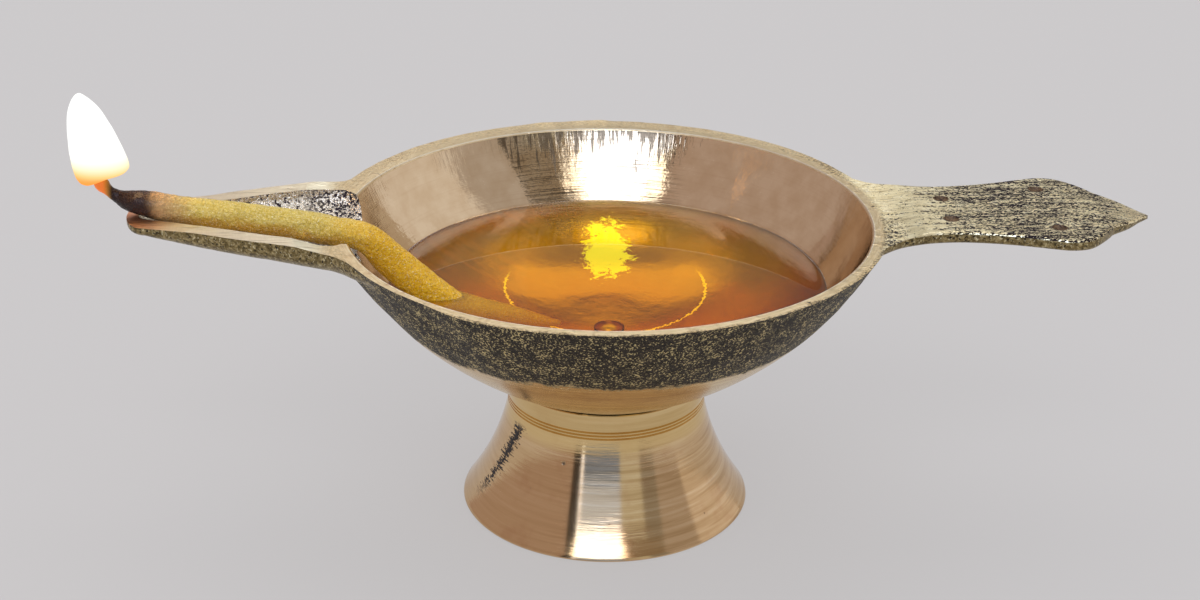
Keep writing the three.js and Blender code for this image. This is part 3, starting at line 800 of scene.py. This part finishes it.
def facing_cut():
    """The rim is faced level, and the cut runs out on the spout and the handle."""
    reach, runout, top = 46.3, 4, CUT_TOP + 0.5
    profile = [(0, RIM), (reach, RIM)]
    profile += [(reach + runout * t, RIM + (CAST_TOP - RIM) * t) for t in steps(0, 1, 8)[1:]]
    profile += [(reach + runout, top), (0, top)]
    verts, faces = revolve(profile, TURNED)
    return make("facing", verts, faces, CASTING, LAND)


def rod(name, radius, low, high, x, y, segments, materials, zone=0):
    """An upright round bar, to cut with."""
    verts, faces = revolve([(0, low), (radius, low), (radius, high), (0, high)], segments)
    return make(name, verts + (x, y, 0), faces, materials, zone)


def ball_radius(radius, height):
    """Radius of the ball that a cap of this radius and height is cut from."""
    return (radius**2 + height**2) / (2 * height)


def dimple(x, y):
    radius, depth = 1.3, 0.7
    ball = ball_radius(radius, depth)
    rim = asin((depth - ball) / ball)
    profile = [(ball * cos(a), ball + ball * sin(a)) for a in steps(-pi / 2, rim, 10)]
    profile[0] = (0, 0)
    profile += [(1.45, 0.85), (1.45, 2), (0, 2)]
    verts, faces = revolve(profile, 36)
    verts[:, :2] *= 1 + 0.05 * value_noise(verts + x, 0.9, 5)[:, None]
    verts += (x, HANDLE_ASIDE + y, CAST_TOP - depth)
    return make("dimple", verts, faces, CASTING, DIMPLE)


casting = outside_body()
boolean(casting, spout_body(), "UNION")
boolean(casting, handle_body(), "UNION")
for cut in (
    inside_body(), spout_channel(),
    rod("corner", 3, 44.5, CUT_TOP, -41, -6.9, 64, CASTING, CHANNEL),  # rounds the spout's near corner
    facing_cut(),
    *(dimple(x, y) for x, y in ((54.6, 4.35), (54.6, -4.35), (71.1, 8.25), (71.1, -8.25))),
    rod("hole", RIVET_HOLE, 21.4, 25.7, 0, RIVET_Y, 48, CASTING, DIMPLE),
):
    boolean(casting, cut, "DIFFERENCE")

mesh = casting.data
mesh.set_sharp_from_angle(angle=radians(32))
co = read(mesh.vertices, "co", width=3) * 1000
zone = read(mesh.polygons, "material_index", np.int32)
normal = read(mesh.polygons, "normal", width=3)
# level tops that were not faced are land too
zone[(normal[:, 2] > 0.999) & np.isin(zone, (OUTSIDE, SIDE))] = LAND
mesh.polygons.foreach_set("material_index", zone)
# the turned inside keeps the true normals of its curve
loop_normal = np.zeros((len(mesh.loops), 3))
loop_vert = read(mesh.loops, "vertex_index", np.int32)
for p in mesh.polygons:
    if zone[p.index] == INNER:
        for li in p.loop_indices:
            x, y, z = co[loop_vert[li]]
            r = max(hypot(x, y), 1e-6)
            across = max(r - BOTTOM_FLAT, 0)
            n = Vector((-x / r * across, -y / r * across, INSIDE_CENTRE - z)).normalized()
            loop_normal[li] = n
mesh.normals_split_custom_set(loop_normal.tolist())
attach(casting, "lamp")
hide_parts("bowl")


# ---- foot, rivet, washer
def lathe(name, profile, segments, mat, node, closed=False, sharp=28, aside=0):
    verts, faces = revolve(profile, segments, closed)
    obj = make(name, verts + (0, aside, 0), faces, [mat], 0, sharp)
    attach(obj, "lamp")
    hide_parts(node)
    return obj


FOOT_TOP = SEAT - GAP
WEB_BOTTOM = FOOT_TOP - 2.5
GROOVE_TOP = FOOT_TOP - 2.6
GROOVE = 0.55
WAIST = GROOVE_TOP - 3 * GROOVE


def foot_profile():
    outside = [(23.4, 0), (23.68, 0.1), (23.8, 0.3), (23.76, 0.5)]
    outside += arc((23.76, 0.5), (16.2, WAIST), -46, 60)[1:]
    for i in range(3):
        low = WAIST + i * GROOVE
        outside += [(16.28, low + 0.03), (16.28, low + 0.12), (15.95, low + 0.3), (16.28, low + 0.47)]
    outside += [(16.3, GROOVE_TOP + 0.1), (16.3, GROOVE_TOP + 1.3), (16.27, SEAT - 0.2), (16.15, SEAT - 0.05)]
    inside = [(0, WEB_BOTTOM), (6, WEB_BOTTOM)]
    inside += arc((14.1, WEB_BOTTOM), (21.7, 0.3), 46, 30) + [(22, 0)]
    return inside + outside + [(15, SEAT - 0.05), (14.7, FOOT_TOP), (6, FOOT_TOP), (0, FOOT_TOP)]


foot = lathe("lamp_foot", foot_profile(), 320, MAT["brass_foot"], "pedestal_foot")
boolean(foot, rod("foot_hole", RIVET_HOLE, 18.6, 23.1, 0, RIVET_Y, 48, [MAT["brass_foot"]]), "DIFFERENCE")
foot.data.set_sharp_from_angle(angle=radians(28))

HEAD_RADIUS = 2.4
HEAD_HEIGHT = 1.1
HEAD_LOW = INSIDE_CENTRE - sqrt(INSIDE_ARC**2 - (HEAD_RADIUS - RIVET_Y - BOTTOM_FLAT) ** 2) + GAP
WASHER_THICK = 0.8
WASHER_LOW = WEB_BOTTOM - GAP - WASHER_THICK
TAIL_TOP = WASHER_LOW - GAP
TAIL_LOW = TAIL_TOP - 0.9
ball = ball_radius(HEAD_RADIUS, HEAD_HEIGHT)
shank = [(0, TAIL_LOW), (1.3, TAIL_LOW), (1.8, TAIL_LOW + 0.15), (2.15, TAIL_LOW + 0.5),
         (2.2, TAIL_TOP), (1.3, TAIL_TOP), (1.3, HEAD_LOW)]
dome = [(ball * cos(a), HEAD_LOW + HEAD_HEIGHT - ball + ball * sin(a))
        for a in steps(asin((ball - HEAD_HEIGHT) / ball), pi / 2, 14)]
dome[-1] = (0, HEAD_LOW + HEAD_HEIGHT)
lathe("lamp_rivet", shank + dome, 64, MAT["brass_rivet"], "foot_rivet", aside=RIVET_Y)
washer = [(1.6, 0), (4.05, 0), (4.2, 0.15), (4.2, 0.65), (4.05, WASHER_THICK), (1.6, WASHER_THICK)]
lathe("lamp_washer", [(r, WASHER_LOW + z) for r, z in washer], 64, MAT["brass_rivet"],
      "rivet_washer", closed=True, aside=RIVET_Y)


# ---- oil
def oil_profile():
    """The bowl's inside up to the oil's level, reaching a hair into the brass
    so that no air lies between, with a meniscus at the wall."""
    into, rise, width = 0.06, 0.3, 4.2
    size = INSIDE_ARC + into
    out = [(0, INSIDE_BOTTOM - into)]
    for a in steps(-pi / 2, asin((OIL_LEVEL + rise - INSIDE_CENTRE) / size), 70):
        out.append((BOTTOM_FLAT + size * cos(a), INSIDE_CENTRE + size * sin(a)))
    edge = out[-1][0]
    for s in steps(0, 1, 16)[1:]:
        away = width * s**1.6
        out.append((edge - away, OIL_LEVEL + rise * exp(-away / 0.7)))
    out += [((edge - width) * (1 - s), OIL_LEVEL) for s in steps(0, 1, 14)[1:-1]]
    return out + [(0, OIL_LEVEL)]


lathe("lamp_oil", oil_profile(), 300, MAT["oil_amber"], "oil", sharp=50)

# ---- wick
# x, y, z and radius
WICK = [
    (-80.6, 1.6, 56.1, 0.8), (-79.9, 1.6, 55.1, 1.15), (-79.00, 1.6, 54.1, 0.9),
    (-77.8, 1.6, 53.2, 1.03), (-76.2, 1.4, 52.5, 1.55), (-73.69, 1.1, 52.1, 1.93),
    (-71.19, 1.1, 51.5, 2.19), (-65.08, 1.6, 50.18, 2.35), (-57.68, 1.6, 49.24, 2.35),
    (-49.89, 0.65, 48.5, 2.35), (-43.51, -1.55, 48.23, 2.35), (-38.6, -4.1, 48.08, 2.35),
    (-34.4, -3.4, 43.83, 2.75), (-29.32, -3.9, 39.28, 2.75), (-23.39, -4.7, 34.81, 2.75),
    (-16.51, -6.00, 31.24, 2.55), (-11.2, -7.1, 29.15, 1.7), (-8.4, -7.6, 28.3, 0.9),
]


def route(points, count):
    """Evenly spaced points on a smooth curve through the given ones."""
    p = np.array(points, float)
    gaps = np.linalg.norm(np.diff(p[:, :3], axis=0), axis=1) ** 0.5
    knots = np.concatenate([[0], np.cumsum(gaps)])
    slope = np.zeros_like(p)
    for i in range(1, len(p) - 1):
        a, b = knots[i] - knots[i - 1], knots[i + 1] - knots[i]
        slope[i] = ((p[i] - p[i - 1]) / a * b + (p[i + 1] - p[i]) / b * a) / (a + b)
    slope[0] = (p[1] - p[0]) / gaps[0]
    slope[-1] = (p[-1] - p[-2]) / gaps[-1]
    dense = []
    for i in range(len(p) - 1):
        h = knots[i + 1] - knots[i]
        for w in np.linspace(0, 1, 60, endpoint=False):
            dense.append((2 * w**3 - 3 * w**2 + 1) * p[i] + (w**3 - 2 * w**2 + w) * h * slope[i]
                         + (-2 * w**3 + 3 * w**2) * p[i + 1] + (w**3 - w**2) * h * slope[i + 1])
    dense.append(p[-1])
    dense = np.array(dense)
    far = np.concatenate([[0], np.cumsum(np.linalg.norm(np.diff(dense[:, :3], axis=0), axis=1))])
    at = np.linspace(0, far[-1], count)
    return np.stack([np.interp(at, far, dense[:, k]) for k in range(4)], axis=1), at


def frames(line):
    """Tangent, side and up at each point, turned no more than the line turns."""
    tangent = np.gradient(line, axis=0)
    tangent /= np.linalg.norm(tangent, axis=1)[:, None]
    side = np.cross(tangent[0], (0, 0, 1))
    side /= np.linalg.norm(side)
    sides = []
    for t in tangent:
        side = side - t * np.dot(side, t)
        side /= np.linalg.norm(side)
        sides.append(side)
    sides = np.array(sides)
    return tangent, sides, np.cross(tangent, sides)


def rounded_end(ring, middle, tangent, stages):
    """Rings that close an end, from (share of its radius, distance) pairs."""
    return [[middle + (point - middle) * share + tangent * out for point in ring] for share, out in stages]


def wick_tube():
    line, at = route(WICK, 620)
    tangent, side, up = frames(line[:, :3])
    around = 56
    rings = []
    for i in range(len(line)):
        twist = at[i] / 9
        ring = []
        for a in full_turn(around):
            strand = 0.035 * abs(sin(2.5 * (a + twist))) - 0.02
            out = side[i] * cos(a) + up[i] * sin(a)
            ring.append(line[i, :3] + out * line[i, 3] * (1 + strand))
        rings.append(ring)
    flat = np.reshape(rings, (-1, 3))
    centre = np.repeat(line[:, :3], around, axis=0)
    away = flat - centre
    length = np.linalg.norm(away, axis=1)
    lumps = sum(high * value_noise(flat, wide, seed)
                for high, wide, seed in ((0.10, 3.2, 71), (0.07, 1.2, 72), (0.05, 0.5, 73)))
    flat = centre + away * (1 + lumps / np.maximum(length, 0.6) * np.minimum(1, length / 1.2))[:, None]
    rings = flat.reshape(-1, around, 3)
    first = rounded_end(rings[0], line[0, :3], tangent[0], ((0.15, -0.5), (0.6, -0.35), (0.9, -0.12)))
    last = rounded_end(rings[-1], line[-1, :3], tangent[-1], ((0.9, 0.25), (0.6, 0.55), (0.15, 0.7)))
    return skin(np.concatenate([first, rings, last]))


verts, faces = wick_tube()
wick = make("lamp_wick", verts, faces, [MAT["wick_cotton"]])
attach(wick, "wick")
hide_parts("wick")

# ---- flame
# height above the land, and the two edges along X
FLAME = [
    (20.70, -82.35, -81.95), (20.51, -82.75, -81.6), (20.1, -83.1, -81.1), (19.62, -83.44, -80.53),
    (18.8, -83.82, -79.76), (17.99, -84.1, -79.14), (17.17, -84.28, -78.67), (16.35, -84.39, -78.28),
    (14.7, -84.51, -77.42), (13.05, -84.51, -76.78), (11.39, -84.51, -76.14), (10.56, -84.43, -75.86),
    (9.72, -84.35, -75.58), (8.89, -84.27, -75.42), (8.39, -84.16, -75.41), (7.71, -84.04, -75.98),
    (7.21, -83.91, -77.42), (6.87, -83.84, -78.46), (6.37, -83.57, -79.52), (5.86, -83.23, -80.65),
    (5.52, -82.56, -81.62),
]
FLAME_Y = 1.6
FLAME_DEPTH = 0.8  # share of its width


def flame_body():
    rows = np.array(FLAME[::-1])
    fine = np.linspace(0, len(rows) - 1, 140)
    table = np.stack([np.interp(fine, range(len(rows)), rows[:, k]) for k in range(3)], axis=1)
    for _ in range(6):
        table[1:-1] = (table[:-2] + 2 * table[1:-1] + table[2:]) / 4
    rings = []
    for z, left, right in table:
        middle, half = (left + right) / 2, (right - left) / 2
        rings.append([(middle + half * cos(a), FLAME_Y + half * FLAME_DEPTH * sin(a), RIM + z)
                      for a in full_turn(64)])
    return skin(rings)


verts, faces = flame_body()
flame = make("lamp_flame", verts, faces, [MAT["flame_glow"]])
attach(flame, "wick")
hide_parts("flame")

glow = bpy.data.lights.new("flame_light", "POINT")
glow.energy = 0.012
glow.color = (1, 0.62, 0.28)
glow.shadow_soft_size = 0.004
glow_obj = place("flame_light", glow)
glow_obj.location = (-0.0775, FLAME_Y / 1000, 0.0605)
glow_obj.parent = flame

# ---- studio
PALE = (0.571, 0.558, 0.564, 1.0)
FLOOR_HALF = 4000
corners = ((-1, -1), (1, -1), (1, 1), (-1, 1))
floor = make("floor", [(x * FLOOR_HALF, y * FLOOR_HALF, z) for z in (-30, 0) for x, y in corners],
             [(0, 3, 2, 1), (4, 5, 6, 7), (0, 1, 5, 4), (1, 2, 6, 5), (2, 3, 7, 6), (3, 0, 4, 7)], [])
floor.data.polygons.foreach_set("use_smooth", np.zeros(6, bool))
paper, p, out = blank("floor_paper")
paper.node_tree.nodes.remove(paper.node_tree.nodes["Principled BSDF"])
diffuse = p.add("BsdfDiffuse", {"Color": (0.577, 0.564, 0.57, 1.0)})
plain = p.add("Emission", {"Color": PALE})
path = p.add("LightPath")
seen = p.most(*(path.outputs["Is %s Ray" % kind] for kind in ("Camera", "Glossy", "Transmission")))
mixed = p.add("MixShader", {"Fac": p.times(seen, 0.7)})
p.put(mixed.inputs[1], diffuse.outputs[0])
p.put(mixed.inputs[2], plain.outputs[0])
p.put(out.inputs["Surface"], mixed.outputs[0])
floor.data.materials.append(paper)

world = bpy.data.worlds.new("studio")
bpy.context.scene.world = world
world.use_nodes = True
background = world.node_tree.nodes["Background"]
background.inputs["Color"].default_value = PALE
background.inputs["Strength"].default_value = 1.0


STUDIO_MIDDLE = Vector((0, 0, 0.04))
LAMP_DISTANCE = 1.3


def direction(azimuth, elevation):
    """Azimuth 0 is towards -Y, where the camera stands, and 90 towards +X."""
    a, e = radians(azimuth), radians(elevation)
    return Vector((sin(a) * cos(e), -cos(a) * cos(e), sin(e)))


def softbox(name, azimuth, elevation, wide, high, radiance, tint=(1, 1, 1)):
    """A soft lamp. wide and high are the angles it takes, in degrees."""
    width = 2 * LAMP_DISTANCE * tan(radians(wide / 2))
    height = 2 * LAMP_DISTANCE * tan(radians(high / 2))
    data = bpy.data.lights.new(name, "AREA")
    data.shape = "RECTANGLE"
    data.size = width
    data.size_y = height
    data.color = tint
    data.energy = radiance * pi * width * height
    obj = place(name, data)
    d = direction(azimuth, elevation)
    obj.location = STUDIO_MIDDLE + d * LAMP_DISTANCE
    obj.rotation_mode = "QUATERNION"
    obj.rotation_quaternion = d.to_track_quat("Z", "Y")
    return obj


def only_reflected(name, verts, faces, radiance):
    """A glowing surface for the stage that only reflections see."""
    obj = make(name, verts, faces, [glowing(name, radiance)])
    for kind in ("camera", "diffuse", "shadow", "transmission"):
        setattr(obj, "visible_" + kind, False)


def card(name, azimuths, elevations, radiance, distance=1.4):
    """A glowing card round the object. azimuths are its two edges, each a
    number or a pair for its lower and its upper end."""
    ends = [a if isinstance(a, tuple) else (a, a) for a in azimuths]
    verts, faces, columns, rows = [], [], 12, 6
    for i in range(rows + 1):
        up = i / rows
        left, right = (low + (high - low) * up for low, high in ends)
        elevation = elevations[0] + (elevations[1] - elevations[0]) * up
        for j in range(columns + 1):
            d = direction(left + (right - left) * j / columns, elevation)
            verts.append((d * distance + STUDIO_MIDDLE) * 1000)
    for i in range(rows):
        for j in range(columns):
            a = i * (columns + 1) + j
            faces.append((a, a + 1, a + columns + 2, a + columns + 1))
    only_reflected("card_" + name, np.array(verts), faces, radiance)


softbox("front_softbox", -7.5, 45, 39, 36, 2.6)
softbox("back_panel", 180, 55, 100, 50, 1.15)
softbox("left_softbox", -90, 35, 50, 50, 0.3, (1.0, 0.93, 0.9)).visible_glossy = False
softbox("right_softbox", 84, 30, 44, 50, 0.4).visible_glossy = False
card("left", (-135, -35.5), (-20, 64), (0.47, 0.385, 0.365))
card("left_edge", (-38.5, -27.5), (-20, 64), (0.05, 0.045, 0.045))
card("front_line", (-27.5, -24.5), (-20, 26.5), (1.5, 1.7, 2.3), 1.38)
card("front", (-27.5, 12), (26.5, 64), (3.2, 3.8, 5.2), 1.2)
card("left_back", (-172, -135), (-20, 64), (0.4, 0.3, 0.27))
card("below", (-27.5, 12), (-20, 9), (0.25, 0.34, 0.58))
card("below_mid", (-27.5, 12), (9, 26.5), (0.68, 0.85, 1.25))
card("right_edge", (12, 33), (-20, 27), (0.62, 0.64, 0.6))
card("right_low", (33, 48), (-20, 27), (0.33, 0.32, 0.31))
card("right_dark", (12, 48), (27, 64), (0.34, 0.29, 0.24))
card("right_near", (48, (72, 84)), (-20, 64), (0.48, 0.44, 0.43))
card("right", ((72, 84), 125), (-20, 64), (0.74, 0.7, 0.69))
card("right_back", (125, 150), (-20, 64), (0.5, 0.42, 0.34))
card("back_left", (180, 185), (12, 30), (0.34, 0.33, 0.31))
card("far_left", (185, 215), (12, 30), (1.25, 1.22, 1.15))
card("back_right", (150, 180), (12, 30), (0.3, 0.29, 0.28))

# the flame's light, stretched upwards as the lines of turning stretch it
only_reflected("flame_streak", [(-81, -3.6, 84), (-81, -2.6, 84), (-81, 9.3, 135), (-81, 8.7, 135)],
               [(0, 1, 2, 3)], (1.6, 0.9, 0.45))

# ---- camera
camera = bpy.data.cameras.new("camera")
camera.lens = 63
camera.sensor_width = 36
camera.clip_start = 0.01
camera.clip_end = 50
cam = place("camera", camera)
right = Vector((0.998994, -0.043430, 0.011137))
upward = Vector((0.007838, 0.413751, 0.910356))
forward = Vector((0.044145, 0.909354, -0.413675))
turn = Matrix((right, upward, -forward)).transposed()
cam.rotation_mode = "QUATERNION"
cam.rotation_quaternion = turn.to_quaternion()
cam.location = (-0.016258, -0.310229, 0.176271)
bpy.context.scene.camera = cam

bpy.context.scene.view_settings.view_transform = "Standard"
